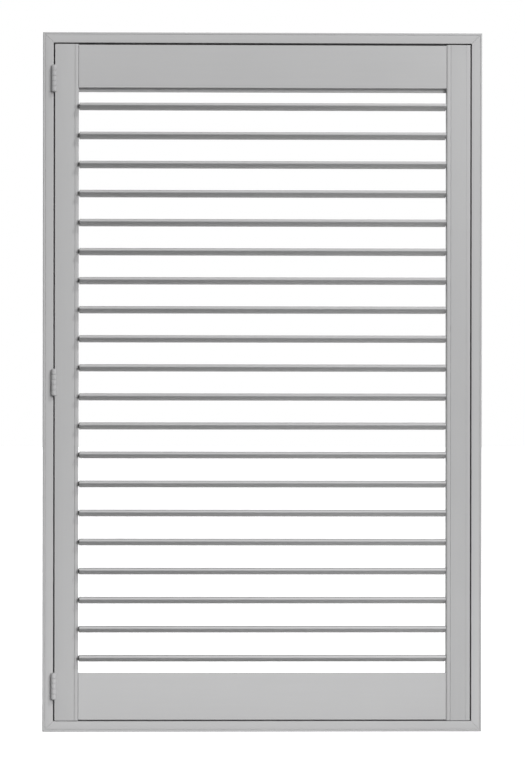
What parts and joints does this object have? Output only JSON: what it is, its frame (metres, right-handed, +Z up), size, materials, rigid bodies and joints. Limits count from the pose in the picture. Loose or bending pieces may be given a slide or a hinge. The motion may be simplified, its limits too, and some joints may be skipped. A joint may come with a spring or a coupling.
{
  "type": "louvred shutter",
  "caption": "Louvred window shutter: tilting oval louvres between beaded stiles and rebated rails, hinged in a mitred L-section frame with a stop behind the panel.",
  "frame": {"origin": "middle of the frame's underside, at half its depth", "axes": "+X to the right seen from the front, +Y to the back, +Z up"},
  "size_m": [0.88, 0.0683, 1.4],
  "materials": {
    "painted_wood": "satin grey paint",
    "painted_louvre": "satin grey paint",
    "painted_hinge": "satin grey paint",
    "key_plastic": "moulded",
    "pivot_nylon": "moulded",
    "dowel_wood": "bare beech",
    "steel": "zinc plated",
    "rack_aluminium": "mill finish"
  },
  "bodies": {
    "frame": {"frame_left": "painted_wood", "frame_right": "painted_wood", "frame_top": "painted_wood", "frame_bottom": "painted_wood", "corner_keys": "key_plastic", "hinge_frame_leaves": "painted_hinge", "hinge_pins": "painted_hinge", "hinge_frame_screws": "steel", "catch_magnets": "steel"},
    "panel": {"left_stile": "painted_wood", "right_stile": "painted_wood", "stile_cover": "painted_wood", "top_rail": "painted_wood", "bottom_rail": "painted_wood", "rail_dowels": "dowel_wood", "hinge_panel_leaves": "painted_hinge", "hinge_panel_screws": "steel", "strike_plates": "steel"},
    "tilt_rack": {"tilt_rack": "rack_aluminium"},
    "louvre_01": {"louvre_01": "painted_louvre", "pivots_01": "pivot_nylon"},
    "louvre_02": {"louvre_02": "painted_louvre", "pivots_02": "pivot_nylon"},
    "louvre_03": {"louvre_03": "painted_louvre", "pivots_03": "pivot_nylon"},
    "louvre_04": {"louvre_04": "painted_louvre", "pivots_04": "pivot_nylon"},
    "louvre_05": {"louvre_05": "painted_louvre", "pivots_05": "pivot_nylon"},
    "louvre_06": {"louvre_06": "painted_louvre", "pivots_06": "pivot_nylon"},
    "louvre_07": {"louvre_07": "painted_louvre", "pivots_07": "pivot_nylon"},
    "louvre_08": {"louvre_08": "painted_louvre", "pivots_08": "pivot_nylon"},
    "louvre_09": {"louvre_09": "painted_louvre", "pivots_09": "pivot_nylon"},
    "louvre_10": {"louvre_10": "painted_louvre", "pivots_10": "pivot_nylon"},
    "louvre_11": {"louvre_11": "painted_louvre", "pivots_11": "pivot_nylon"},
    "louvre_12": {"louvre_12": "painted_louvre", "pivots_12": "pivot_nylon"},
    "louvre_13": {"louvre_13": "painted_louvre", "pivots_13": "pivot_nylon"},
    "louvre_14": {"louvre_14": "painted_louvre", "pivots_14": "pivot_nylon"},
    "louvre_15": {"louvre_15": "painted_louvre", "pivots_15": "pivot_nylon"},
    "louvre_16": {"louvre_16": "painted_louvre", "pivots_16": "pivot_nylon"},
    "louvre_17": {"louvre_17": "painted_louvre", "pivots_17": "pivot_nylon"},
    "louvre_18": {"louvre_18": "painted_louvre", "pivots_18": "pivot_nylon"},
    "louvre_19": {"louvre_19": "painted_louvre", "pivots_19": "pivot_nylon"},
    "louvre_20": {"louvre_20": "painted_louvre", "pivots_20": "pivot_nylon"}
  },
  "joints": [
    {"name": "panel_swing", "type": "hinge", "parent": "frame", "child": "panel", "pos_m": [-0.41775, -0.0306, 0.7], "axis": [0, 0, -1], "range_deg": [0, 170]},
    {"name": "louvre_01_tilt", "type": "hinge", "parent": "panel", "child": "louvre_01", "pos_m": [0, -0.0115, 1.25192], "axis": [-1, 0, 0], "range_deg": [-66, 77]},
    {"name": "louvre_02_tilt", "type": "hinge", "parent": "panel", "child": "louvre_02", "pos_m": [0, -0.0115, 1.19375], "axis": [-1, 0, 0], "range_deg": [-66, 77]},
    {"name": "louvre_03_tilt", "type": "hinge", "parent": "panel", "child": "louvre_03", "pos_m": [0, -0.0115, 1.13559], "axis": [-1, 0, 0], "range_deg": [-66, 77]},
    {"name": "louvre_04_tilt", "type": "hinge", "parent": "panel", "child": "louvre_04", "pos_m": [0, -0.0115, 1.07742], "axis": [-1, 0, 0], "range_deg": [-66, 77]},
    {"name": "louvre_05_tilt", "type": "hinge", "parent": "panel", "child": "louvre_05", "pos_m": [0, -0.0115, 1.01926], "axis": [-1, 0, 0], "range_deg": [-66, 77]},
    {"name": "louvre_06_tilt", "type": "hinge", "parent": "panel", "child": "louvre_06", "pos_m": [0, -0.0115, 0.96109], "axis": [-1, 0, 0], "range_deg": [-66, 77]},
    {"name": "louvre_07_tilt", "type": "hinge", "parent": "panel", "child": "louvre_07", "pos_m": [0, -0.0115, 0.90293], "axis": [-1, 0, 0], "range_deg": [-66, 77]},
    {"name": "louvre_08_tilt", "type": "hinge", "parent": "panel", "child": "louvre_08", "pos_m": [0, -0.0115, 0.84476], "axis": [-1, 0, 0], "range_deg": [-66, 77]},
    {"name": "louvre_09_tilt", "type": "hinge", "parent": "panel", "child": "louvre_09", "pos_m": [0, -0.0115, 0.7866], "axis": [-1, 0, 0], "range_deg": [-66, 77]},
    {"name": "louvre_10_tilt", "type": "hinge", "parent": "panel", "child": "louvre_10", "pos_m": [0, -0.0115, 0.72843], "axis": [-1, 0, 0], "range_deg": [-66, 77]},
    {"name": "louvre_11_tilt", "type": "hinge", "parent": "panel", "child": "louvre_11", "pos_m": [0, -0.0115, 0.67027], "axis": [-1, 0, 0], "range_deg": [-66, 77]},
    {"name": "louvre_12_tilt", "type": "hinge", "parent": "panel", "child": "louvre_12", "pos_m": [0, -0.0115, 0.6121], "axis": [-1, 0, 0], "range_deg": [-66, 77]},
    {"name": "louvre_13_tilt", "type": "hinge", "parent": "panel", "child": "louvre_13", "pos_m": [0, -0.0115, 0.55394], "axis": [-1, 0, 0], "range_deg": [-66, 77]},
    {"name": "louvre_14_tilt", "type": "hinge", "parent": "panel", "child": "louvre_14", "pos_m": [0, -0.0115, 0.49577], "axis": [-1, 0, 0], "range_deg": [-66, 77]},
    {"name": "louvre_15_tilt", "type": "hinge", "parent": "panel", "child": "louvre_15", "pos_m": [0, -0.0115, 0.43761], "axis": [-1, 0, 0], "range_deg": [-66, 77]},
    {"name": "louvre_16_tilt", "type": "hinge", "parent": "panel", "child": "louvre_16", "pos_m": [0, -0.0115, 0.37944], "axis": [-1, 0, 0], "range_deg": [-66, 77]},
    {"name": "louvre_17_tilt", "type": "hinge", "parent": "panel", "child": "louvre_17", "pos_m": [0, -0.0115, 0.32128], "axis": [-1, 0, 0], "range_deg": [-66, 77]},
    {"name": "louvre_18_tilt", "type": "hinge", "parent": "panel", "child": "louvre_18", "pos_m": [0, -0.0115, 0.26311], "axis": [-1, 0, 0], "range_deg": [-66, 77]},
    {"name": "louvre_19_tilt", "type": "hinge", "parent": "panel", "child": "louvre_19", "pos_m": [0, -0.0115, 0.20495], "axis": [-1, 0, 0], "range_deg": [-66, 77]},
    {"name": "louvre_20_tilt", "type": "hinge", "parent": "panel", "child": "louvre_20", "pos_m": [0, -0.0115, 0.14678], "axis": [-1, 0, 0], "range_deg": [-66, 77]},
    {"name": "rack_slide", "type": "slide", "parent": "panel", "child": "tilt_rack", "axis": [0, 0, -1], "range_m": [-0.0056, 0.0065]}
  ],
  "couplings": [
    {"joint": "louvre_02_tilt", "follows": "louvre_01_tilt", "ratio": 1},
    {"joint": "louvre_03_tilt", "follows": "louvre_01_tilt", "ratio": 1},
    {"joint": "louvre_04_tilt", "follows": "louvre_01_tilt", "ratio": 1},
    {"joint": "louvre_05_tilt", "follows": "louvre_01_tilt", "ratio": 1},
    {"joint": "louvre_06_tilt", "follows": "louvre_01_tilt", "ratio": 1},
    {"joint": "louvre_07_tilt", "follows": "louvre_01_tilt", "ratio": 1},
    {"joint": "louvre_08_tilt", "follows": "louvre_01_tilt", "ratio": 1},
    {"joint": "louvre_09_tilt", "follows": "louvre_01_tilt", "ratio": 1},
    {"joint": "louvre_10_tilt", "follows": "louvre_01_tilt", "ratio": 1},
    {"joint": "louvre_11_tilt", "follows": "louvre_01_tilt", "ratio": 1},
    {"joint": "louvre_12_tilt", "follows": "louvre_01_tilt", "ratio": 1},
    {"joint": "louvre_13_tilt", "follows": "louvre_01_tilt", "ratio": 1},
    {"joint": "louvre_14_tilt", "follows": "louvre_01_tilt", "ratio": 1},
    {"joint": "louvre_15_tilt", "follows": "louvre_01_tilt", "ratio": 1},
    {"joint": "louvre_16_tilt", "follows": "louvre_01_tilt", "ratio": 1},
    {"joint": "louvre_17_tilt", "follows": "louvre_01_tilt", "ratio": 1},
    {"joint": "louvre_18_tilt", "follows": "louvre_01_tilt", "ratio": 1},
    {"joint": "louvre_19_tilt", "follows": "louvre_01_tilt", "ratio": 1},
    {"joint": "louvre_20_tilt", "follows": "louvre_01_tilt", "ratio": 1},
    {"joint": "rack_slide", "follows": "louvre_01_tilt", "m_per_rad": 0.0048299}
  ]
}
